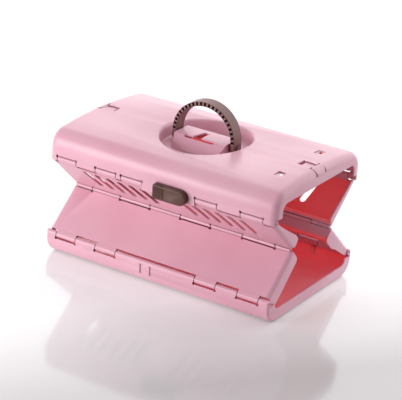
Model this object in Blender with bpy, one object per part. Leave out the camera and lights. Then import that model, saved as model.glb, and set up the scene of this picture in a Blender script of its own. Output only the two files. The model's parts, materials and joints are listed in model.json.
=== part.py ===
"""Collapsible carrying case: a roof and a base joined by two folding side walls.

X runs along the case, +Y is the back, Z is up, the floor is at Z = 0.
Lengths in this file are millimetres; MM turns them into metres.
"""
import math

import bmesh
import bpy
from mathutils import Matrix, Vector

MM = 0.001

# ---- overall case ----------------------------------------------------------
HALF_LENGTH = 253.0        # half of the case along X
HALF_WIDTH = 159.0         # half of the case along Y
WALL = 3.0                 # moulded wall thickness
BASE_AXIS_Z = 44.0         # hinge axis on the base rim
ROOF_AXIS_Z = 202.0        # hinge axis on the roof rim, half-folded case
ROOF_TOP_Z = 260.0         # where the roof's long corners begin
ROOF_CROWN = 7.0           # rise of the roof's middle above that
BASE_CORNER = 34.0         # long rounded corner under the base
ROOF_CORNER = 36.0         # long rounded corner of the roof
BASE_END_ROUND = 5.0       # rounding of the short ends
ROOF_END_ROUND = 14.0
LIP_WIDTH = 24.0           # rim that frames the open ends
LIP_CORNER = 14.0
BASE_LIP_Z = 25.0
ROOF_LIP_Z = 235.0

# ---- folding walls ---------------------------------------------------------
LINK = 111.0               # hinge axis to crease axis
AXIS_DEPTH = 6.3           # rim hinge axis behind the outer face
CREASE_PROUD = 0.4         # crease axis in front of the outer face
PANEL_END = 249.0          # half length of a wall panel
PANEL_ROUND = 8.0          # corner between wall face and end flange
RIM_GAP = 7.2              # rim edge and panel edge to the hinge axis
CREASE_GAP = 0.5           # panel edge to the crease axis
KNUCKLE = 6.0              # rim knuckle radius
CREASE_KNUCKLE = 4.5
CREASE_PLAY = 2.3          # slit around the other panel's crease knuckles
ROD = 1.6
CREASE_ROD = 1.3
ROD_PLAY = 0.35
KNUCKLE_GAP = 1.4          # side play between neighbouring knuckles
BASE_PANEL_TABS = ((-230, -184), (-137, -90), (90, 137), (184, 230))
BASE_RIM_TABS = ((-252, -230), (-184, -137), (-90, 90), (137, 184), (230, 252))
ROOF_PANEL_TABS = ((-234, -190), (-145, -98), (-86, -38), (80, 127), (178, 226))
ROOF_RIM_TABS = ((-252, -234), (-190, -145), (-98, -86), (-38, 80), (127, 178), (226, 252))
CREASE_CUTS = (-249, -204, -138, -68, 2, 70, 141, 212, 249)
RELIEF = (3.5, 8.5)        # small square reliefs where knuckles meet, from the axis
RELIEF_HALF = 2.2
UPPER_FLANGES = (((RIM_GAP, 14.0), (40.0, 15.0), (96.0, 20.0)),
                 ((RIM_GAP, 10.0), (40.0, 15.0), (96.0, 26.0)))
LOWER_FLANGES = (((RIM_GAP, 17.0), (66.0, 27.0), (66.5, 29.0), (76.0, 31.0)),
                 ((RIM_GAP, 32.0), (40.0, 33.0), (66.5, 32.0), (76.0, 31.0)))
FLANGE_CORNER = 8.0
UPPER_CREASE_FLANGE = 23.0
LOWER_CREASE_FLANGE = 28.0
SLOT_PITCH = 26.0          # ventilation slots in the upper walls
SLOT_FIRST = (-172.0, 47.0)
SLOTS_PER_SIDE = 6
SLOT_WIDTH = 13.5
SLOT_TOP, SLOT_END, SLOT_LEAN = 17.0, 80.0, 11.0
PANEL_RIB_X = 205.0        # stiffening ribs inside the lower walls
PANEL_RIB_HALF = 4.0
RIB_X = 172.0              # stiffening ribs inside the base rim
CATCH_RIBS = (-33.0, -11.0)    # two ribs on the base that guide the end of a strap

# ---- dish, belt saddle and handle -----------------------------------------
DISH_TOP = (89.5, 98.5)    # half axes at the rim
DISH_BOTTOM = (85.0, 93.5)
DISH_FLOOR_Z = 241.0
SADDLE_HALF = 57.0
SADDLE_TOP_Z = 266.5
SADDLE_SIDE = ((-46.0, 25.0), (-40.0, 18.5), (-34.0, 11.0), (-28.5, 4.6), (-24.5, 1.4),
               (-20.0, 0.0), (20.0, 0.0), (24.5, 1.4), (28.5, 4.6), (34.0, 11.0),
               (40.0, 18.5), (46.0, 25.0))
BELT_SLOT = (-34.0, 32.0, -27.5, -20.5)
BELT_MOUTH = ((-17.0, -22.0), (-12.0, 1.0), (-9.0, 9.0), (3.0, 10.0), (1.5, 0.0), (2.0, -22.0))
HANDLE_PIVOT_Z = 256.0
HANDLE_CENTRE_Z = 266.0
HANDLE_OUTER = 70.0
HANDLE_INNER = 61.0
HANDLE_WIDTH = 28.0
HANDLE_RIB_PITCH = 8.6
PIN = 4.0

# ---- lock sliders and end latches ------------------------------------------
LOCK_X = (-7.0, 66.0)
LOCK_Z = (187.0, 216.5)
LOCK_FACE_Y = 171.0
LOCK_BACK_Y = 159.5
LOCK_TRAVEL = 24.0
LOCK_STEMS = (20.0, 42.0)  # left edges of the two stems that run in the rim slot
APRON_X = (-37.5, 79.5)    # where the roof rim reaches down behind the lock
APRON_DROP = 11.0
LATCH_TOP_Z = ROOF_TOP_Z + ROOF_CROWN
LATCH_HALF = 10.8
LATCH_PAD_HALF = 17.4
LATCH_PIN_X, LATCH_PIN_Z = 222.0, LATCH_TOP_Z - 7.5
DOOR_POCKET_Y = 74.0

LINK_FACE = math.sqrt(LINK ** 2 - (AXIS_DEPTH + CREASE_PROUD) ** 2)
OVER_CENTRE = math.atan2(AXIS_DEPTH + CREASE_PROUD, LINK_FACE)
HALF_RISE = (ROOF_AXIS_Z - BASE_AXIS_Z) / 2.0
LEAN = math.acos(HALF_RISE / LINK) + OVER_CENTRE
AXIS_Y = HALF_WIDTH - AXIS_DEPTH
CREASE_Y = AXIS_Y - LINK * math.sin(LEAN - OVER_CENTRE)
CREASE_Z = (ROOF_AXIS_Z + BASE_AXIS_Z) / 2.0

for old in list(bpy.data.objects):
    bpy.data.objects.remove(old, do_unlink=True)


# ---- building blocks --------------------------------------------------------
def from_faces(name, points, faces):
    mesh = bpy.data.meshes.new(name)
    mesh.from_pydata([Vector(p) * MM for p in points], [], faces)
    shape = bmesh.new()
    shape.from_mesh(mesh)
    bmesh.ops.recalc_face_normals(shape, faces=shape.faces)
    shape.to_mesh(mesh)
    shape.free()
    obj = bpy.data.objects.new(name, mesh)
    bpy.context.scene.collection.objects.link(obj)
    return obj


def loft(name, rings):
    """Closed body through equal rings of points."""
    count = len(rings[0])
    points = [p for ring in rings for p in ring]
    faces = []
    for row in range(len(rings) - 1):
        for i in range(count):
            j = (i + 1) % count
            faces.append((row * count + i, row * count + j,
                          (row + 1) * count + j, (row + 1) * count + i))
    faces.append(tuple(range(count)))
    faces.append(tuple(range((len(rings) - 1) * count, len(rings) * count)))
    return from_faces(name, points, faces)


def along_x(name, outline, x0, x1):
    """Prism along X from (y, z) points."""
    return loft(name, [[(x, y, z) for y, z in outline] for x in (x0, x1)])


def along_y(name, outline, y0, y1):
    """Prism along Y from (x, z) points."""
    return loft(name, [[(x, y, z) for x, z in outline] for y in (y0, y1)])


def along_z(name, outline, z0, z1):
    """Prism along Z from (x, y) points."""
    return loft(name, [[(x, y, z) for x, y in outline] for z in (z0, z1)])


def box(name, x0, x1, y0, y1, z0, z1):
    return along_z(name, [(x0, y0), (x1, y0), (x1, y1), (x0, y1)], z0, z1)


def arc(cx, cy, radius, start, end, steps):
    """Points on an arc, degrees, both ends included."""
    turn = [math.radians(start + (end - start) * i / steps) for i in range(steps + 1)]
    return [(cx + radius * math.cos(a), cy + radius * math.sin(a)) for a in turn]


def circle(cx, cy, radius, steps):
    return arc(cx, cy, radius, 0.0, 360.0 * (steps - 1) / steps, steps - 1)


def rounded_box(x0, x1, y0, y1, radius, steps=4):
    return (arc(x1 - radius, y1 - radius, radius, 0, 90, steps)
            + arc(x0 + radius, y1 - radius, radius, 90, 180, steps)
            + arc(x0 + radius, y0 + radius, radius, 180, 270, steps)
            + arc(x1 - radius, y0 + radius, radius, 270, 360, steps))


def joined(name, parts):
    """One mesh object out of several that do not touch each other."""
    shape = bmesh.new()
    for part in parts:
        shape.from_mesh(part.data)
        bpy.data.objects.remove(part, do_unlink=True)
    mesh = bpy.data.meshes.new(name)
    shape.to_mesh(mesh)
    shape.free()
    obj = bpy.data.objects.new(name, mesh)
    bpy.context.scene.collection.objects.link(obj)
    return obj


def combine(body, tool, operation):
    """Add, cut or intersect one body with another and keep the result."""
    step = body.modifiers.new("step", "BOOLEAN")
    step.operation = operation
    step.solver = "EXACT"
    step.object = tool
    bpy.context.view_layer.update()
    graph = bpy.context.evaluated_depsgraph_get()
    mesh = bpy.data.meshes.new_from_object(body.evaluated_get(graph))
    body.modifiers.clear()
    body.data = mesh
    bpy.data.objects.remove(tool, do_unlink=True)
    return body


def add(body, tool):
    return combine(body, tool, "UNION")


def cut(body, tool):
    return combine(body, tool, "DIFFERENCE")


def colour_material(name, colour, roughness):
    mat = bpy.data.materials.new(name)
    mat.use_nodes = True
    shader = mat.node_tree.nodes["Principled BSDF"]
    shader.inputs["Base Color"].default_value = (*colour, 1.0)
    shader.inputs["Roughness"].default_value = roughness
    mat.diffuse_color = (*colour, 1.0)
    return mat


def finish(obj, name, colour, roughness=0.4, origin=(0.0, 0.0, 0.0), parent=None):
    """Clean the mesh, name it, place its origin and give it its material."""
    shape = bmesh.new()
    shape.from_mesh(obj.data)
    bmesh.ops.remove_doubles(shape, verts=shape.verts, dist=0.00001)
    bmesh.ops.dissolve_degenerate(shape, edges=shape.edges, dist=0.00001)
    bmesh.ops.dissolve_limit(shape, angle_limit=math.radians(0.3),
                             verts=shape.verts, edges=shape.edges)
    move = Vector(origin) * MM
    bmesh.ops.translate(shape, verts=shape.verts, vec=-move)
    shape.to_mesh(obj.data)
    shape.free()
    obj.name = name
    obj.data.name = name
    obj.location = move
    obj.data.materials.clear()
    obj.data.materials.append(colour_material(name, colour, roughness))
    obj.data.shade_smooth()
    obj.data.set_sharp_from_angle(angle=math.radians(32.0))
    if parent is not None:
        obj.parent = parent
        obj.location = move - parent.location
    return obj


PINK = (0.86, 0.42, 0.53)
BROWN = (0.075, 0.045, 0.04)
STEEL = (0.62, 0.6, 0.6)


def end_sections(half, radius, steps=4):
    """(x, inset) pairs that round both ends of a body along X."""
    turn = [math.radians(90.0 * i / steps) for i in range(steps + 1)]
    one = [(-half + radius * (1 - math.cos(a)), radius * (1 - math.sin(a))) for a in turn]
    return one + [(-x, inset) for x, inset in reversed(one)]


def crown_at(y, reach=HALF_WIDTH - ROOF_CORNER):
    """Rise of the roof's crowned top above its long edges."""
    return ROOF_CROWN * max(0.0, 1.0 - (y / reach) ** 2)


def shell_profile(half, flat, corner, open_edge, inset=0.0, steps=9, crowned=False):
    """(y, z) outline of a roof or base: flat side, two round corners, open edge."""
    side = 1.0 if flat > open_edge else -1.0
    half, flat, corner = half - inset, flat - side * inset, max(corner - inset, 0.5)
    left = arc(-half + corner, flat - side * corner, corner, 180, 180 - side * 90, steps)
    right = [(-y, z) for y, z in reversed(left)]
    top = []
    if crowned:
        reach = half - corner
        top = [(y, flat + crown_at(y, reach))
               for y in (reach * (i / 7.0 - 1.0) for i in range(1, 14))]
    return [(-half, open_edge)] + left + top + right + [(half, open_edge)]


def rim_tabs(spans, toward, axis_z, y_side):
    """Knuckles on a rim; toward is +1 when the wall is above the axis."""
    sweep = arc(0.0, 0.0, KNUCKLE, 180, 360 + 45, 15)
    outline = sweep + [(-AXIS_DEPTH + WALL, 9.5), (-AXIS_DEPTH + 1.6, 10.0), (-KNUCKLE, 8.0)]
    placed = [(-y_side * (-AXIS_Y + y) * -1.0, axis_z + toward * z) for y, z in outline]
    parts = []
    for x0, x1 in spans:
        a = x0 + (0.0 if x0 < -250 else KNUCKLE_GAP / 2)
        b = x1 - (0.0 if x1 > 250 else KNUCKLE_GAP / 2)
        parts.append(along_x("tab", placed, a * y_side, b * y_side))
    return parts


# ---- roof and base shells ---------------------------------------------------
def shell(name, flat, corner, open_edge, end_round, lip_z):
    side = 1.0 if flat > open_edge else -1.0
    body = loft(name, [[(x, y, z) for y, z in
                        shell_profile(HALF_WIDTH, flat, corner, open_edge, inset,
                                      crowned=side > 0)]
                       for x, inset in end_sections(HALF_LENGTH, end_round)])
    inner_round = end_round - WALL
    hollow = loft("hollow", [[(x, y, z) for y, z in
                              shell_profile(HALF_WIDTH - WALL, flat - side * WALL,
                                            corner - WALL, open_edge - side * 30, inset,
                                            crowned=side > 0)]
                             for x, inset in
                             end_sections(HALF_LENGTH - WALL, inner_round, 3)])
    cut(body, hollow)
    opening = shell_profile(HALF_WIDTH - LIP_WIDTH, lip_z, LIP_CORNER,
                            open_edge - side * 40, steps=5)
    for x0, x1 in ((-HALF_LENGTH - 9, -HALF_LENGTH + 14), (HALF_LENGTH - 14, HALF_LENGTH + 9)):
        cut(body, along_x("opening", opening, x0, x1))
    return body


def hinge_tabs(body, spans, toward, axis_z, end_round):
    parts = rim_tabs(spans, toward, axis_z, 1.0) + rim_tabs(spans, toward, axis_z, -1.0)
    tabs = joined("tabs", parts)
    reach = HALF_WIDTH - 0.15
    room = loft("room", [[(x, -reach + inset, axis_z - 40), (x, reach - inset, axis_z - 40),
                          (x, reach - inset, axis_z + 40), (x, -reach + inset, axis_z + 40)]
                         for x, inset in end_sections(HALF_LENGTH - 0.2, end_round)])
    combine(tabs, room, "INTERSECT")
    add(body, tabs)
    bores = [along_x("bore", circle(s * AXIS_Y, axis_z, ROD + ROD_PLAY, 12), -256, 256)
             for s in (-1, 1)]
    cut(body, joined("bores", bores))
    z0, z1 = sorted(axis_z + toward * reach for reach in RELIEF)
    cut(body, joined("reliefs", [
        box("relief", x - RELIEF_HALF, x + RELIEF_HALF,
            *sorted((s * (HALF_WIDTH - 4.2), s * (HALF_WIDTH + 4))), z0, z1)
        for s in (-1, 1) for x in [-s * end for span in spans for end in span]
        if abs(x) < 250]))


def half_turn(outline, side):
    """Mirror a (x, y) outline to the back by a half turn about Z."""
    return [(side * x, side * y) for x, y in outline]


def build_base():
    body = shell("base_tray", 0.0, BASE_CORNER, BASE_AXIS_Z - RIM_GAP, BASE_END_ROUND,
                 BASE_LIP_Z)
    hinge_tabs(body, BASE_RIM_TABS, -1.0, BASE_AXIS_Z, BASE_END_ROUND)
    for side in (1, -1):
        for x in CATCH_RIBS:
            rib = half_turn([(x, -161), (x + 3, -161), (x + 3, -157), (x, -157)], side)
            add(body, along_z("catch_rib", rib, 24.0, 42.0))
        for x in (-RIB_X, RIB_X):
            rib = [(side * -150.4, 16), (side * -151, 30), (side * -153.6, 34),
                   (side * -157.3, 34), (side * -156.3, 25), (side * -153.6, 18)]
            add(body, along_x("rib", rib, x - 2.5, x + 2.5))
    return finish(body, "base_tray", PINK, 0.32)


def dish_ring(scale_x, scale_y, z, crowned=True, steps=44):
    turn = [2 * math.pi * i / steps for i in range(steps)]
    ring = [(scale_x * math.cos(a), scale_y * math.sin(a)) for a in turn]
    return [(x, y, z + (crown_at(y) if crowned else 0.0)) for x, y in ring]


def saddle_outline(inset, foot_z):
    """(y, z) side of the belt saddle, moved inwards by inset."""
    squeeze = 1.0 - 1.2 * inset / SADDLE_SIDE[-1][0]
    side = [(y * squeeze, SADDLE_TOP_Z - drop - inset) for y, drop in SADDLE_SIDE]
    return [(side[0][0], foot_z)] + side + [(side[-1][0], foot_z)]


def saddle(inset, foot_z):
    """Belt saddle whose front and back stay inside the folded handle."""
    half = SADDLE_HALF - inset
    body = along_x("saddle", saddle_outline(inset, foot_z), -half, half)
    radius = HANDLE_INNER - 1.8 - inset
    centre = HANDLE_CENTRE_Z - HANDLE_PIVOT_Z
    start = math.degrees(math.acos(half / radius))
    plan = (arc(0, centre, radius, start, 180 - start, 12)
            + arc(0, -centre, radius, 180 + start, 360 - start, 12))
    return combine(body, along_z("plan", plan, 200, 280), "INTERSECT")


def build_roof():
    body = shell("roof_shell", ROOF_TOP_Z, ROOF_CORNER, ROOF_AXIS_Z + RIM_GAP,
                 ROOF_END_ROUND, ROOF_LIP_Z)
    ax, ay = DISH_TOP
    bx, by = DISH_BOTTOM
    add(body, loft("bowl", [dish_ring(bx + 2, by + 2, DISH_FLOOR_Z - WALL, False),
                            dish_ring(ax + 2, ay + 2, ROOF_TOP_Z - 6.5),
                            dish_ring(ax + 7, ay + 7, ROOF_TOP_Z - 1.2)]))
    cut(body, loft("dish", [dish_ring(bx - 3, by - 3, DISH_FLOOR_Z, False),
                            dish_ring(bx, by, DISH_FLOOR_Z + 2.5, False),
                            dish_ring(ax - 2.2, ay - 2.2, ROOF_TOP_Z - 6.5),
                            dish_ring(ax - 1.0, ay - 1.0, ROOF_TOP_Z - 3.0),
                            dish_ring(ax + 1.2, ay + 1.2, ROOF_TOP_Z - 0.9),
                            dish_ring(ax + 4.5, ay + 4.5, ROOF_TOP_Z + 0.3),
                            dish_ring(ax + 4.5, ay + 4.5, ROOF_TOP_Z + 12)]))
    add(body, saddle(0.0, DISH_FLOOR_Z - 2.0))
    cut(body, saddle(WALL, DISH_FLOOR_Z - 12.0))
    x0, x1, y0, y1 = BELT_SLOT
    cut(body, along_z("belt_slot", rounded_box(x0, x1, y0, y1, 3.3), 240, 275))
    cut(body, along_z("belt_mouth", BELT_MOUTH, 246, 275))
    for side in (-1, 1):
        boss = [(8, SADDLE_TOP_Z - 1.2)] + arc(0, HANDLE_PIVOT_Z, 8, 0, -180, 10)
        add(body, along_x("pin_boss", boss + [(-8, SADDLE_TOP_Z - 1.2)],
                          side * (SADDLE_HALF - 11), side * (SADDLE_HALF - 1)))
        cut(body, along_x("pin_bore", circle(0, HANDLE_PIVOT_Z, PIN + ROD_PLAY, 20),
                          side * (SADDLE_HALF - 14), side * (SADDLE_HALF + 2)))
    for y in (-DOOR_POCKET_Y, DOOR_POCKET_Y):
        floor = ROOF_TOP_Z + crown_at(y) - 1.8
        cut(body, along_z("door_pocket", rounded_box(198.5, 214, y - 11, y + 11, 3, 3),
                          floor, 280))
        cut(body, along_z("door_hole", rounded_box(204, 211, y - 2, y + 7, 2, 3),
                          250, 280))
    for side in (-1, 1):
        notch = ((206, -12), (208, 12), (227, 11.6), (236.3, 8), (236.3, 18.2), (262, 18.2),
                 (262, -18.2), (236.3, -18.2), (236.3, -8), (227, -11.6))
        cut(body, along_z("latch_notch", [(side * x, y) for x, y in notch],
                          LATCH_TOP_Z - 13.5, 280))
        for y0, y1 in ((-16.0, -12.2), (12.2, 16.0)):
            outline = ([(side * 227, LATCH_TOP_Z - 2.0), (side * 217, LATCH_TOP_Z - 2.0)]
                       + [(side * (222 - x), z) for x, z in
                          arc(0, LATCH_PIN_Z, 5.0, 0, -180, 8)])
            add(body, along_y("latch_lug", outline, y0, y1))
        cut(body, along_y("latch_bore", circle(side * LATCH_PIN_X, LATCH_PIN_Z, 1.85, 12),
                          -20, 20))
    for side in (1, -1):
        z0 = ROOF_AXIS_Z - APRON_DROP
        outline = [(-HALF_WIDTH + 1.0, z0), (-HALF_WIDTH, z0 + 1.0), (-HALF_WIDTH, 212.0),
                   (-HALF_WIDTH + 2.6, 212.0), (-HALF_WIDTH + 2.6, z0)]
        add(body, along_x("apron", [(side * y, z) for y, z in outline],
                          side * APRON_X[0], side * APRON_X[1]))
    hinge_tabs(body, ROOF_RIM_TABS, 1.0, ROOF_AXIS_Z, ROOF_END_ROUND)
    slot_x = (LOCK_STEMS[0] - LOCK_TRAVEL - 1.5, LOCK_STEMS[1] + 9.0)
    for side in (1, -1):
        slot = [(side * x, z) for x, z in ((slot_x[0], 211.3), (slot_x[1], 211.3),
                                           (slot_x[1], 214.9), (slot_x[0], 214.9))]
        cut(body, along_y("lock_slot", slot, side * -154.5, side * -165))
    return finish(body, "roof_shell", PINK, 0.32, (0, 0, ROOF_AXIS_Z))


# ---- wall panels ------------------------------------------------------------
# Panel outlines use (d, v): depth behind the outer face, distance from the rim axis.
def panel_outline(flange, outer):
    edge = LINK_FACE - CREASE_GAP
    deep = flange[-1][1]
    corner = arc(deep - FLANGE_CORNER, edge - FLANGE_CORNER, FLANGE_CORNER, 90, 0, 4)
    return ([(outer, RIM_GAP), (outer, edge)] + corner
            + [(d, v) for v, d in reversed(flange)])


def corner_depth(x, end, radius):
    """How far the rounded end of the face sits behind the outer face."""
    reach = max(0.0, abs(x) - (end - radius))
    return radius - math.sqrt(max(radius ** 2 - reach ** 2, 0.0))


def build_panel(name, flanges, crease_flange, panel_tabs, even, with_slots):
    """One wall panel lying in (x, d, v) space; flanges holds its -X and +X end flange."""
    edge = LINK_FACE - CREASE_GAP
    sections = [x for x, _ in end_sections(PANEL_END, PANEL_ROUND, 4)]
    body = loft(name, [[(x, d, v) for d, v in
                        panel_outline(flanges[x > 0],
                                      corner_depth(x, PANEL_END, PANEL_ROUND))]
                       for x in sections])
    inner_end, inner_round = PANEL_END - WALL, PANEL_ROUND - WALL
    rings = []
    for x, _ in end_sections(inner_end, inner_round, 4):
        d0 = WALL + corner_depth(x, inner_end, inner_round)
        rings.append([(x, d, v) for d, v in
                      ((d0, -10), (d0, edge - 6), (d0 + 3, edge - WALL), (60, edge - WALL),
                       (60, -10))])
    cut(body, loft("inside", rings))
    cut(body, box("crease_trim", -inner_end + 8, inner_end - 8, crease_flange, 60,
                  edge - 12, edge + 5))
    hub = [(AXIS_DEPTH + d, v) for d, v in arc(0, 0, KNUCKLE, 180, 360, 12)]
    hub = hub + [(AXIS_DEPTH + 4.2, 4.2), (WALL, 10.5), (WALL - 1.4, 11.0), (0.3, 9.0)]
    tabs = [along_x("tab", hub, x0 + KNUCKLE_GAP / 2, x1 - KNUCKLE_GAP / 2)
            for x0, x1 in panel_tabs]
    add(body, joined("tabs", tabs))
    spans = [(CREASE_CUTS[i], CREASE_CUTS[i + 1]) for i in range(len(CREASE_CUTS) - 1)]
    mine = [s for i, s in enumerate(spans) if (i % 2 == 0) == even]
    other = [s for i, s in enumerate(spans) if (i % 2 == 0) != even]
    g = KNUCKLE_GAP / 2
    if not with_slots:
        for s in (-1, 1):
            add(body, box("rib", s * PANEL_RIB_X - PANEL_RIB_HALF,
                          s * PANEL_RIB_X + PANEL_RIB_HALF, 1.5, 12, 62, edge - 1.5))
    cut(body, joined("pockets", [
        along_x("pocket", circle(-CREASE_PROUD, LINK_FACE, CREASE_KNUCKLE + CREASE_PLAY, 16),
                a - g if a > -249 else a - 3, b + g if b < 249 else b + 3)
        for a, b in other]))
    add(body, joined("knuckles", [
        along_x("knuckle", circle(-CREASE_PROUD, LINK_FACE, CREASE_KNUCKLE, 16),
                a + g if a > -249 else a + 6, b - g if b < 249 else b - 6)
        for a, b in mine]))
    cut(body, joined("reliefs", [
        box("relief", x - RELIEF_HALF, x + RELIEF_HALF, -4, 4.2,
            LINK_FACE - RELIEF[1], LINK_FACE - RELIEF[0]) for x in CREASE_CUTS[1:-1]]))
    if with_slots:
        cut(body, box("apron_room", APRON_X[0] - 0.8, APRON_X[1] + 0.8, -5, 9,
                      -8, APRON_DROP + 1.0))
        for first in SLOT_FIRST:
            for i in range(SLOTS_PER_SIDE):
                x = first + i * SLOT_PITCH
                half = SLOT_WIDTH / 2
                top = arc(x - SLOT_LEAN / 2, SLOT_TOP + half, half, 180, 360, 6)
                end = arc(x + SLOT_LEAN / 2, SLOT_END - half, half, 0, 180, 6)
                cut(body, along_y("slot", top + end, -5, 8))
    bores = [along_x("bore", circle(AXIS_DEPTH, 0, ROD + ROD_PLAY, 12), -256, 256),
             along_x("bore", circle(-CREASE_PROUD, LINK_FACE, CREASE_ROD + ROD_PLAY, 12),
                     -256, 256)]
    cut(body, joined("bores", bores))
    return body


def place_panel(panel, name, upper, back):
    """Turn a panel from (x, d, v) space to its half-folded place on the case."""
    direction = -1.0 if upper else 1.0
    axis_z = ROOF_AXIS_Z if upper else BASE_AXIS_Z
    to_case = Matrix(((1, 0, 0, 0), (0, 1, 0, -AXIS_DEPTH * MM), (0, 0, direction, 0),
                      (0, 0, 0, 1)))
    lean = Matrix.Rotation(-direction * LEAN, 4, "X")
    turn = Matrix.Rotation(math.pi if back else 0.0, 4, "Z")
    side = 1.0 if back else -1.0
    place = Matrix.Translation(Vector((0, side * AXIS_Y, axis_z)) * MM)
    mesh = panel.data.copy()
    mesh.transform(place @ turn @ lean @ to_case)
    if upper:
        mesh.flip_normals()
    obj = bpy.data.objects.new(name, mesh)
    bpy.context.scene.collection.objects.link(obj)
    return finish(obj, name, PINK, 0.34, (0, side * AXIS_Y, axis_z))


def build_walls():
    upper = build_panel("upper", UPPER_FLANGES, UPPER_CREASE_FLANGE, ROOF_PANEL_TABS,
                        True, True)
    lower = build_panel("lower", LOWER_FLANGES, LOWER_CREASE_FLANGE, BASE_PANEL_TABS,
                        False, False)
    for back in (False, True):
        side = "back" if back else "front"
        place_panel(upper, side + "_upper_panel", True, back)
        place_panel(lower, side + "_lower_panel", False, back)
    for panel in (upper, lower):
        bpy.data.objects.remove(panel, do_unlink=True)


def build_rods():
    for side, s in (("front", -1), ("back", 1)):
        for place, y, z, radius, half in (
                ("roof", AXIS_Y, ROOF_AXIS_Z, ROD, 250.5),
                ("crease", CREASE_Y, CREASE_Z, CREASE_ROD, 242.0),
                ("base", AXIS_Y, BASE_AXIS_Z, ROD, 250.5)):
            rod = along_x("rod", circle(s * y, z, radius, 12), -half, half)
            finish(rod, f"{side}_{place}_rod", STEEL, 0.3, (0, s * y, z))


# ---- handle -----------------------------------------------------------------
def handle_path(radius, steps=28):
    """(x, z) points of the bail at a given radius, left foot to right foot."""
    bend = [(-x, z) for x, z in arc(0, HANDLE_CENTRE_Z, radius, 0, 180, steps)]
    return [(-radius, HANDLE_PIVOT_Z)] + bend + [(radius, HANDLE_PIVOT_Z)]


def build_handle():
    half = HANDLE_WIDTH / 2
    outer, inner = handle_path(HANDLE_OUTER), handle_path(HANDLE_INNER)
    rings = []
    for (xo, zo), (xi, zi) in zip(outer, inner):
        slant_x, slant_z = (xo - xi) * 0.14, (zo - zi) * 0.14
        rings.append([(xo, -half + 1.2, zo), (xo, half - 1.2, zo),
                      (xo - slant_x, half, zo - slant_z), (xi + slant_x, half, zi + slant_z),
                      (xi, half - 1.2, zi), (xi, -half + 1.2, zi),
                      (xi + slant_x, -half, zi + slant_z), (xo - slant_x, -half, zo - slant_z)])
    body = loft("carry_handle", rings)
    for s in (-1, 1):
        foot = along_x("foot", circle(0, HANDLE_PIVOT_Z, 13.0, 24),
                       s * (HANDLE_INNER + 0.05), s * (HANDLE_OUTER - 0.05))
        add(body, foot)
    cells = []
    middle = (HANDLE_OUTER + HANDLE_INNER) / 2
    arch = math.pi * middle
    count = int(arch / HANDLE_RIB_PITCH)
    for i in range(count):
        a0 = math.pi * (i + 0.25) / count
        a1 = math.pi * (i + 0.75) / count
        corners = [(HANDLE_INNER + 1.5, a0), (HANDLE_OUTER - 0.9, a0),
                   (HANDLE_OUTER - 0.9, a1), (HANDLE_INNER + 1.5, a1)]
        outline = [(r * math.cos(a), HANDLE_CENTRE_Z + r * math.sin(a)) for r, a in corners]
        for y0, y1 in ((-half - 3, -4.0), (4.0, half + 3)):
            cells.append(along_y("cell", outline, y0, y1))
    cut(body, joined("cells", cells))
    cut(body, along_x("pin_hole", circle(0, HANDLE_PIVOT_Z, PIN + ROD_PLAY, 20), -80, 80))
    handle = finish(body, "carry_handle", BROWN, 0.45, (0, 0, HANDLE_PIVOT_Z))
    for side, s in (("left", -1), ("right", 1)):
        stations = ((46, PIN - 0.6), (46.6, PIN), (70.7, PIN), (70.7, 6.5), (72.4, 6.5),
                    (73, 5.9))
        rings = [[(s * x, y, z) for y, z in circle(0, HANDLE_PIVOT_Z, r, 20)]
                 for x, r in stations]
        finish(loft("pin", rings), "handle_pin_" + side, BROWN, 0.4,
               (s * 60, 0, HANDLE_PIVOT_Z))
    return handle


# ---- lock sliders -----------------------------------------------------------
def lock_outline(inset):
    x0, x1 = LOCK_X
    z0, z1 = LOCK_Z
    r = (z1 - z0) / 2 - inset
    cx, cz = x1 - (z1 - z0) / 2, (z0 + z1) / 2
    left = x0 + inset
    corner = 3.0
    return ([(left + corner, cz + r), (left, cz + r - corner), (left, cz - r + corner),
             (left + corner, cz - r)] + arc(cx, cz, r, -90, 90, 12))


def build_lock(name, side):
    layers = ((LOCK_BACK_Y, 0.0), (LOCK_FACE_Y - 2.5, 0.0), (LOCK_FACE_Y - 0.8, 0.8),
              (LOCK_FACE_Y, 2.5))
    body = loft(name, [[(side * x, -side * y, z) for x, z in lock_outline(inset)]
                       for y, inset in layers])
    grooves = []
    for i in range(7):
        x = LOCK_X[0] + 4.5 + i * 3.4
        grooves.append(box("groove", *sorted((side * x, side * (x + 1.4))),
                           *sorted((-side * (LOCK_FACE_Y + 2), -side * (LOCK_FACE_Y - 0.9))),
                           LOCK_Z[0] + 4.5, LOCK_Z[1] - 4.5))
    cut(body, joined("grooves", grooves))
    notches = []
    for z0, z1 in ((LOCK_Z[0] - 1, LOCK_Z[0] + 1.6), (LOCK_Z[1] - 1.6, LOCK_Z[1] + 1)):
        notches.append(box("notch", *sorted((side * 14, side * 18)),
                           *sorted((-side * 176, -side * 168)), z0, z1))
    cut(body, joined("notches", notches))
    for x0 in LOCK_STEMS:
        stem = [(x0, -163), (x0 + 8, -163), (x0 + 8, -152.6), (x0, -152.6)]
        add(body, along_z("stem", half_turn(stem, side), 211.7, 214.5))
        head = [(x0 - 1, -152.8), (x0 + 9, -152.8), (x0 + 9, -151.2), (x0 - 1, -151.2)]
        add(body, along_z("stem_head", half_turn(head, side), 211.7, 215.8))
    return finish(body, name, BROWN, 0.42, (side * 29.5, -side * LOCK_BACK_Y, 201.75))


def build_keeper(name, side):
    x0, x1 = 0.0, 56.0
    outline = [(x0, 223.0), (x1, 223.0), (x1, 212.2)]
    for left in reversed(LOCK_STEMS):
        outline += [(left + 8.35, 212.2), (left + 8.35, 214.85), (left - 0.35, 214.85),
                    (left - 0.35, 212.2)]
    outline += [(x0, 212.2)]
    body = along_y(name, [(side * x, z) for x, z in outline], side * -155.6, side * -153.2)
    return finish(body, name, BROWN, 0.5, (side * 28, -side * 154.4, 217.0))


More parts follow.
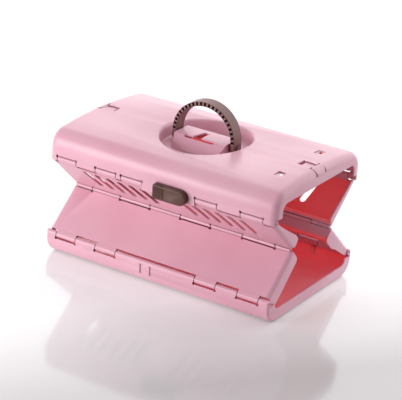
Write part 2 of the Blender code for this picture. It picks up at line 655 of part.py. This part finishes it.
# ---- end latches ------------------------------------------------------------
def build_latch(name, side):
    """Sunken tongue on a cross pin, with a pad that reaches over the rounded end."""
    top = LATCH_TOP_Z
    outline = [(213, top - 5.4), (213, top - 2.6), (234.5, top - 2.6), (239, top + 0.4)]
    outline += arc(239, top - 14, 14.4, 84, 4, 7)
    outline += arc(239, top - 14, 11.2, 4, 70, 6)
    outline += [(243.5, top - 10.5), (246.5, top - 12.4), (246.5, top - 14),
                (240.5, top - 14), (240.5, top - 5.4), (226.5, top - 5.4)]
    outline += [(222 + x, z) for x, z in arc(0, LATCH_PIN_Z, 3.6, 0, -180, 8)]
    outline += [(217.5, top - 5.4)]
    body = along_y(name, [(side * x, z) for x, z in outline],
                   -LATCH_PAD_HALF, LATCH_PAD_HALF)
    half, pad = LATCH_HALF, LATCH_PAD_HALF
    one = [(211, half), (227, half), (237, half - 3.6), (238.2, half - 3.6),
           (238.2, pad - 3), (241, pad)] + arc(256 - 12, pad - 12, 12, 90, 0, 6)
    plan = one + [(x, -y) for x, y in reversed(one)]
    trim = along_z("plan", [(side * x, y) for x, y in plan], top - 30, top + 10)
    combine(body, trim, "INTERSECT")
    cut(body, along_y("latch_bore", circle(side * LATCH_PIN_X, LATCH_PIN_Z, 1.85, 12),
                      -20, 20))
    finish(body, name + "_end_latch", PINK, 0.34, (side * LATCH_PIN_X, 0, LATCH_PIN_Z))
    pin = along_y("pin", circle(side * LATCH_PIN_X, LATCH_PIN_Z, 1.5, 12), -15.6, 15.6)
    finish(pin, name + "_latch_pin", STEEL, 0.3, (side * LATCH_PIN_X, 0, LATCH_PIN_Z))


build_base()
build_roof()
build_walls()
build_rods()
build_handle()
for label, turn in (("front", 1), ("back", -1)):
    build_lock(label + "_lock_slider", turn)
    build_keeper(label + "_lock_keeper", turn)
for label, turn in (("left", -1), ("right", 1)):
    build_latch(label, turn)
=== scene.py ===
import bpy
import bmesh
import json
import math
from functools import partial
from mathutils import Matrix, Vector


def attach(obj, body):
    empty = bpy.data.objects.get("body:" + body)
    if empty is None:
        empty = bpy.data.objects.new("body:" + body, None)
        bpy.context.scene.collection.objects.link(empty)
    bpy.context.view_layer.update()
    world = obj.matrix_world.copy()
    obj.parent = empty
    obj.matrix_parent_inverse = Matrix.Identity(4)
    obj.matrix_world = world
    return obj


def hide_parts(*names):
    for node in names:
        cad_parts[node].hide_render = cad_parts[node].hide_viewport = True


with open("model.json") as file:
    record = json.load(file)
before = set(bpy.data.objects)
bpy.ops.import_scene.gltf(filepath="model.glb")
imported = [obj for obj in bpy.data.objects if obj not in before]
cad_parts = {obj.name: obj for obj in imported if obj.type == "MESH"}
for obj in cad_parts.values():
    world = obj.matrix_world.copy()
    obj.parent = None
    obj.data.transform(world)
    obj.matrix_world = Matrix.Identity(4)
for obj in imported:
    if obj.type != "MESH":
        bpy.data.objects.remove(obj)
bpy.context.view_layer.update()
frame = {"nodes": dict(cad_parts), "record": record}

NODES = frame["nodes"]
BODY_OF = {node: body for body, members in frame["record"]["behaviour"]["bodies"].items()
           for node in members}

# ---- colours (linear) --------------------------------------------------------
PINK = (0.78, 0.43, 0.52)
PINK_DEEP = (0.75, 0.38, 0.48)
# painted shade: the pink plastic's colour deep in slits and crevices
PAINTED_SHADE_RED = (0.16, 0.026, 0.042)
INNER_RED = (0.74, 0.20, 0.22)
INNER_RED_DEEP = (0.68, 0.17, 0.19)
# painted glow of the inside faces, standing in for light through the walls
INNER_GLOW = (0.70, 0.07, 0.08)
BROWN = (0.185, 0.080, 0.078)
BROWN_LIGHT = (0.235, 0.110, 0.105)
OLIVE = (0.100, 0.046, 0.036)
OLIVE_LIGHT = (0.125, 0.060, 0.048)
# painted shade: the brown plastics' colour deep in slits and crevices
PAINTED_SHADE_BROWN = (0.025, 0.012, 0.011)
STEEL = (0.60, 0.58, 0.58)
STEEL_DULL = (0.50, 0.49, 0.49)
FLOOR_WHITE = (0.60, 0.58, 0.59)
FLOOR_GREY = (0.58, 0.56, 0.57)
FLOOR_GLOW_COLOUR = (1.0, 0.985, 1.0)
ROOM_COLOUR = (1.0, 0.99, 1.0)

# ---- plastic: scales per metre, lengths in metres ------------------------------
DRIFT_SCALE, DRIFT_DETAIL = 7.0, 2.0         # slow drift between a plastic's two colours
DRIFT_SPREAD = (0.35, 0.65)          # noise values that give one colour and the other
GRAIN_SCALE, GRAIN_DETAIL, GRAIN_ROUGH = 420.0, 3.0, 0.6     # grain of the surface
GRAIN_SPREAD = (0.3, 0.7)
GRAIN_STRENGTH = 0.6
SHELL_GRAIN, BROWN_GRAIN, STEEL_GRAIN = 0.00008, 0.00015, 0.00004
SLIT_OPEN = (0.35, 0.80)             # openness of a deep slit, and of an open face
SLIT_SAMPLES = 8
OUTER_SLIT, INNER_SLIT, LOCK_SLIT = 0.006, 0.009, 0.0025    # reach of the painted shade in the slits
SCATTER_RADIUS = (1.0, 0.3, 0.33)    # red light travels furthest in the pink plastic
SCATTER_DEPTH = 0.005
GLOW_THROUGH = 0.20                  # painted glow, standing in for light that comes through the thin walls
GLOW_Z = (0.19, 0.235)               # it fades out under the roof between these heights
LIT_END_X = (-0.12, -0.22)           # painted light: paler where daylight reaches in at the open left end
LIT_END = 0.75
LIT_FLOOR_Z = (0.03, 0.004)          # and falls on the base's floor
LIT_FLOOR = 0.7

# ---- the case at rest, in metres -------------------------------------------------
AXIS_Y = 0.1527                      # rim hinge axes, from the middle plane
ROOF_AXIS_Z, BASE_AXIS_Z = 0.202, 0.044
AXIS_DEPTH = 0.0063                  # the axes lie this far behind a panel's outer face
CREASE_Y, CREASE_Z = 0.0747, 0.123
PANEL_LEAN = math.radians(48.086)
DISH_FLOOR_Z, DISH_HALF = 0.2405, (0.091, 0.100)
ROOF_SKIN_Z, BASE_SKIN_Z = 0.2635, 0.0015    # past these, a shell's face is outer skin
SHELL_SKIN_X, SHELL_SKIN_Y = 0.2495, 0.1564
PANEL_SKIN_X = 0.2475
SHELL_HINGE, PANEL_HINGE, PANEL_CREASE = 0.0115, 0.009, 0.0085    # knuckles' reach
PANEL_SKIN, PANEL_WALL = 0.0025, 0.0035      # depth of a panel's skin and of its wall
DISH_UNDERSIDE = -0.2                # a dish face whose normal dips past this is inside
TOWARDS_CABIN, ACROSS_CASE = 0.3, 0.5        # how far an inner face's normal leans

# ---- mesh detail -----------------------------------------------------------------
MERGE = 0.00002
FLAT_ANGLE = math.radians(1.0)
SHARP_ANGLE = math.radians(32.0)
BEVEL_ANGLE = math.radians(34.0)
SHELL_EDGE, HANDLE_EDGE = 0.0006, 0.0005

# ---- studio ------------------------------------------------------------------------
FLOOR_RADIUS = 9.0
FLOOR_DROP = 0.0005                  # keeps the floor clear of the base's underside
FLOOR_SIDES = 96
FLOOR_ROUGHNESS, FLOOR_IOR = 0.09, 1.5
FLOOR_SCALE, FLOOR_DETAIL = 3.0, 2.0
FLOOR_SPREAD = (0.3, 0.7)
GLOW_TOWARD = (-1.0, 0.8, 0.0)       # the floor brightens this way
GLOW_FROM, GLOW_FULL = -0.62, -0.20
FLOOR_GLOW = 0.38
ROOM_LIGHT, WALL_LIGHT = 0.36, 2.15  # room, and the bright wall behind the case
WALL_FROM, WALL_FULL = 0.25, 0.60    # how far towards the back the wall begins

# ---- camera ------------------------------------------------------------------------
CAMERA_PLACE = (1.71975978, -2.84952698, 1.49844027)
CAMERA_RIGHT = (0.83946582, 0.53930154, 0.06671569)
CAMERA_UP = (-0.25761724, 0.28685879, 0.9226838)
CAMERA_BACK = (0.47846681, -0.79174863, 0.37974152)
CAMERA_SENSOR, CAMERA_LENS = 36.0, 166.41    # millimetres
CAMERA_REACH = 30.0


# ---- shader nodes ------------------------------------------------------------------
class Nodes:
    """Adds and links nodes in the tree of one material or world."""

    def __init__(self, owner, shader="Principled BSDF"):
        owner.use_nodes = True
        self.tree = owner.node_tree
        self.shader = self.tree.nodes[shader]

    def add(self, kind, inputs=None, **settings):
        node = self.tree.nodes.new("ShaderNode" + kind)
        for name, value in settings.items():
            setattr(node, name, value)
        for name, value in (inputs or {}).items():
            node.inputs[name].default_value = value
        return node

    def link(self, output, socket):
        self.tree.links.new(output, socket)

    def place(self, source="Object"):
        return self.add("TexCoord").outputs[source]

    def along(self, axis, source="Object"):
        """One coordinate of the shaded point."""
        split = self.add("SeparateXYZ")
        self.link(self.place(source), split.inputs["Vector"])
        return split.outputs[axis]

    def math(self, operation, a, b):
        node = self.add("Math", operation=operation)
        self.link(a, node.inputs[0])
        self.link(b, node.inputs[1])
        return node.outputs["Value"]

    def noise(self, scale, detail, rough=0.5):
        node = self.add("TexNoise", {"Scale": scale, "Detail": detail, "Roughness": rough})
        self.link(self.place(), node.inputs["Vector"])
        return node.outputs["Fac"]

    def mix(self, factor, a, b):
        """Blend from colour a to colour b; either is a tuple or another node's output."""
        node = self.add("Mix", data_type="RGBA")
        factor_socket, a_socket, b_socket = (node.inputs[i] for i in (0, 6, 7))
        self.link(factor, factor_socket)
        for socket, value in ((a_socket, a), (b_socket, b)):
            if isinstance(value, tuple):
                socket.default_value = (*value, 1.0)
            else:
                self.link(value, socket)
        return node.outputs[2]

    def ramp(self, value, low, high, out_low=0.0, out_high=1.0):
        node = self.add("MapRange", {"From Min": low, "From Max": high,
                                     "To Min": out_low, "To Max": out_high})
        self.link(value, node.inputs["Value"])
        return node.outputs["Result"]

    def bump(self, height, distance, strength):
        node = self.add("Bump", {"Distance": distance, "Strength": strength})
        self.link(height, node.inputs["Height"])
        return node.outputs["Normal"]

    def openness(self, reach):
        """Ambient-occlusion mask, 0 deep in a slit narrower than the reach, 1 on an open face;
        it places the painted shade and cuts the painted glow.
        """
        node = self.add("AmbientOcclusion", {"Distance": reach}, samples=SLIT_SAMPLES)
        return self.ramp(node.outputs["AO"], *SLIT_OPEN)


# ---- materials ---------------------------------------------------------------------
def moulded_plastic(name, light, deep, roughness, grain, slit=None, painted_light=None,
                    sheen=0.5, scatter=0.0):
    """Plastic with a slow colour drift, fine grain, satin sheen, painted shade in its slits
    and, if given, painted light.
    """
    material = bpy.data.materials.new(name)
    n = Nodes(material)
    drift = n.ramp(n.noise(DRIFT_SCALE, DRIFT_DETAIL), *DRIFT_SPREAD)
    colour = n.mix(drift, light, deep)
    # painted light: paler where daylight reaches into the case
    if painted_light:
        colour = painted_light(n, colour)
    # painted shade: the colour darkens deep in slits and crevices, by ambient occlusion
    if slit:
        dark, reach = slit
        colour = n.mix(n.openness(reach), dark, colour)
    n.link(colour, n.shader.inputs["Base Color"])
    fine = n.noise(GRAIN_SCALE, GRAIN_DETAIL, GRAIN_ROUGH)
    n.link(n.ramp(fine, *GRAIN_SPREAD, *roughness), n.shader.inputs["Roughness"])
    n.link(n.bump(fine, grain, GRAIN_STRENGTH), n.shader.inputs["Normal"])
    n.shader.inputs["Specular IOR Level"].default_value = sheen
    if scatter:
        n.shader.inputs["Subsurface Weight"].default_value = scatter
        n.shader.inputs["Subsurface Radius"].default_value = SCATTER_RADIUS
        n.shader.inputs["Subsurface Scale"].default_value = SCATTER_DEPTH
    return material


def lit_ends(n, colour):
    """Painted light: paler towards the open left end and on the floor, where daylight reaches
    in.
    """
    end = n.ramp(n.along("X"), *LIT_END_X, 0.0, LIT_END)
    floor = n.ramp(n.along("Z"), *LIT_FLOOR_Z, 0.0, LIT_FLOOR)
    return n.mix(n.math("MAXIMUM", end, floor), colour, PINK)


def glow_through(material):
    """Painted red glow standing in for light through the walls, none under the roof and none
    deep in a slit.
    """
    n = Nodes(material)
    height = n.ramp(n.along("Z"), *GLOW_Z, GLOW_THROUGH, 0.0)
    n.link(n.math("MULTIPLY", height, n.openness(INNER_SLIT)),
           n.shader.inputs["Emission Strength"])
    n.shader.inputs["Emission Color"].default_value = (*INNER_GLOW, 1.0)


pink = moulded_plastic("pink_plastic", PINK, PINK_DEEP, roughness=(0.30, 0.40),
                       grain=SHELL_GRAIN, slit=(PAINTED_SHADE_RED, OUTER_SLIT))
inner = moulded_plastic("pink_plastic_inside", INNER_RED, INNER_RED_DEEP,
                        roughness=(0.28, 0.38), grain=SHELL_GRAIN,
                        slit=(PAINTED_SHADE_RED, INNER_SLIT), painted_light=lit_ends, scatter=1.0)
glow_through(inner)
brown = moulded_plastic("brown_plastic", BROWN, BROWN_LIGHT, roughness=(0.42, 0.56),
                        grain=BROWN_GRAIN, slit=(PAINTED_SHADE_BROWN, OUTER_SLIT))
olive = moulded_plastic("brown_plastic_lock", OLIVE, OLIVE_LIGHT, roughness=(0.36, 0.48),
                        grain=BROWN_GRAIN, slit=(PAINTED_SHADE_BROWN, LOCK_SLIT), sheen=0.22)
steel = moulded_plastic("steel_rod", STEEL, STEEL_DULL, roughness=(0.22, 0.34),
                        grain=STEEL_GRAIN)
steel.node_tree.nodes["Principled BSDF"].inputs["Metallic"].default_value = 1.0


# ---- which faces belong to the inside of the case ------------------------------------
def shell_inside(place, normal, roof):
    """Inside of the roof or base: behind the outer skin and facing the cabin."""
    x, y, z = place
    if roof:
        in_dish = math.hypot(x / DISH_HALF[0], y / DISH_HALF[1]) < 1.0
        on_dish = in_dish and z > DISH_FLOOR_Z and normal.z > DISH_UNDERSIDE
        if z > ROOF_SKIN_Z or on_dish:
            return False
    elif z < BASE_SKIN_Z:
        return False
    if abs(x) > SHELL_SKIN_X or abs(y) > SHELL_SKIN_Y:
        return False
    if math.hypot(abs(y) - AXIS_Y, z - (ROOF_AXIS_Z if roof else BASE_AXIS_Z)) < SHELL_HINGE:
        return False
    return normal.dot(Vector((0.0, -y, CREASE_Z - z))) > 0.0


def panel_inside(place, normal, side, upper):
    """Inner face of a wall panel, and the inner faces of its flanges."""
    x, y, z = place
    axis_y, axis_z = side * AXIS_Y, (ROOF_AXIS_Z if upper else BASE_AXIS_Z)
    inward = Vector((0.0, -side * math.cos(PANEL_LEAN),
                     (1 if upper else -1) * math.sin(PANEL_LEAN)))
    depth = (Vector(place) - Vector((0.0, axis_y, axis_z))).dot(inward) + AXIS_DEPTH
    if abs(x) > PANEL_SKIN_X or math.hypot(y - axis_y, z - axis_z) < PANEL_HINGE:
        return False
    if math.hypot(y - side * CREASE_Y, z - CREASE_Z) < PANEL_CREASE:
        return False
    faces_in = normal.dot(inward) > TOWARDS_CABIN or abs(normal.x) > ACROSS_CASE
    return depth > PANEL_SKIN and (faces_in or depth > PANEL_WALL)


INSIDE = {
    "roof_shell": partial(shell_inside, roof=True),
    "base_tray": partial(shell_inside, roof=False),
    "front_upper_panel": partial(panel_inside, side=-1, upper=True),
    "front_lower_panel": partial(panel_inside, side=-1, upper=False),
    "back_upper_panel": partial(panel_inside, side=1, upper=True),
    "back_lower_panel": partial(panel_inside, side=1, upper=False),
}


# ---- pieces ----------------------------------------------------------------------------
def soften_edges(piece, width):
    edge = piece.modifiers.new("edge", "BEVEL")
    edge.width = width
    edge.segments = 2
    edge.limit_method = "ANGLE"
    edge.angle_limit = BEVEL_ANGLE
    edge.use_clamp_overlap = True
    edge.harden_normals = True
    edge.miter_outer = "MITER_ARC"


def detailed(node, materials, bevel=0.0, inside=None):
    """A finer copy of a CAD node: clean flat faces, and softly rounded edges if bevelled."""
    shape = bmesh.new()
    shape.from_mesh(NODES[node].data)
    bmesh.ops.remove_doubles(shape, verts=shape.verts, dist=MERGE)
    if bevel:
        bmesh.ops.dissolve_limit(shape, angle_limit=FLAT_ANGLE, verts=shape.verts,
                                 edges=shape.edges, delimit=set())
    shape.normal_update()
    for face in shape.faces:
        face.smooth = True
        if inside and inside(face.calc_center_median(), face.normal):
            face.material_index = 1
    mesh = bpy.data.meshes.new(node + "_piece")
    shape.to_mesh(mesh)
    shape.free()
    for material in materials:
        mesh.materials.append(material)
    mesh.set_sharp_from_angle(angle=SHARP_ANGLE)
    piece = bpy.data.objects.new(node + "_piece", mesh)
    bpy.context.scene.collection.objects.link(piece)
    if bevel:
        soften_edges(piece, bevel)
    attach(piece, BODY_OF[node])
    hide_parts(node)


for name in NODES:
    if name in INSIDE:
        detailed(name, [pink, inner], SHELL_EDGE, INSIDE[name])
    elif name.endswith("end_latch"):
        detailed(name, [pink], SHELL_EDGE)
    elif name.endswith("rod") or "latch_pin" in name:
        detailed(name, [steel])
    elif "_lock_" in name:
        detailed(name, [olive])
    else:
        detailed(name, [brown], HANDLE_EDGE)


# ---- floor, light and camera -------------------------------------------------------------
def studio_floor():
    """Wide pale glossy floor, brighter towards the back left."""
    material = bpy.data.materials.new("floor_white")
    n = Nodes(material)
    drift = n.ramp(n.noise(FLOOR_SCALE, FLOOR_DETAIL), *FLOOR_SPREAD)
    n.link(n.mix(drift, FLOOR_WHITE, FLOOR_GREY), n.shader.inputs["Base Color"])
    n.shader.inputs["Roughness"].default_value = FLOOR_ROUGHNESS
    n.shader.inputs["IOR"].default_value = FLOOR_IOR
    along = n.add("VectorMath", {1: GLOW_TOWARD}, operation="DOT_PRODUCT")
    n.link(n.place(), along.inputs[0])
    n.link(n.ramp(along.outputs["Value"], GLOW_FROM, GLOW_FULL, 0.0, FLOOR_GLOW),
           n.shader.inputs["Emission Strength"])
    n.shader.inputs["Emission Color"].default_value = (*FLOOR_GLOW_COLOUR, 1.0)

    shape = bmesh.new()
    bmesh.ops.create_circle(shape, cap_ends=True, radius=FLOOR_RADIUS,
                             segments=FLOOR_SIDES)
    mesh = bpy.data.meshes.new("backdrop")
    shape.to_mesh(mesh)
    shape.free()
    mesh.materials.append(material)
    sheet = bpy.data.objects.new("backdrop", mesh)
    sheet.location.z = -FLOOR_DROP
    bpy.context.scene.collection.objects.link(sheet)


def studio_world():
    """Soft room light with a bright wall on the far side of the case."""
    world = bpy.data.worlds.new("studio")
    bpy.context.scene.world = world
    n = Nodes(world, "Background")
    n.link(n.ramp(n.along("Y", "Generated"), WALL_FROM, WALL_FULL, ROOM_LIGHT, WALL_LIGHT),
           n.shader.inputs["Strength"])
    n.shader.inputs["Color"].default_value = (*ROOM_COLOUR, 1.0)


def area_light(name, place, target, size, power):
    lamp = bpy.data.lights.new(name, "AREA")
    lamp.shape = "RECTANGLE"
    lamp.size, lamp.size_y = size
    lamp.energy = power
    light = bpy.data.objects.new(name, lamp)
    light.location = place
    light.rotation_euler = (Vector(target) - Vector(place)).to_track_quat("-Z", "Y").to_euler()
    bpy.context.scene.collection.objects.link(light)


def photo_camera():
    """Camera at the photograph's place, angle and framing."""
    camera = bpy.data.cameras.new("camera")
    camera.sensor_width = CAMERA_SENSOR
    camera.lens = CAMERA_LENS
    camera.clip_end = CAMERA_REACH
    viewer = bpy.data.objects.new("camera", camera)
    columns = Matrix((CAMERA_RIGHT, CAMERA_UP, CAMERA_BACK)).transposed().to_4x4()
    viewer.matrix_world = Matrix.Translation(CAMERA_PLACE) @ columns
    bpy.context.scene.collection.objects.link(viewer)
    bpy.context.scene.camera = viewer


studio_floor()
studio_world()
area_light("key", place=(-1.9, -2.8, 0.85), target=(0.0, 0.0, 0.12), size=(2.4, 1.6),
           power=86.0)
area_light("top", place=(-0.2, 0.2, 2.8), target=(0.0, 0.0, 0.1), size=(1.6, 1.6),
           power=3.0)
photo_camera()
bpy.context.scene.view_settings.view_transform = "Standard"
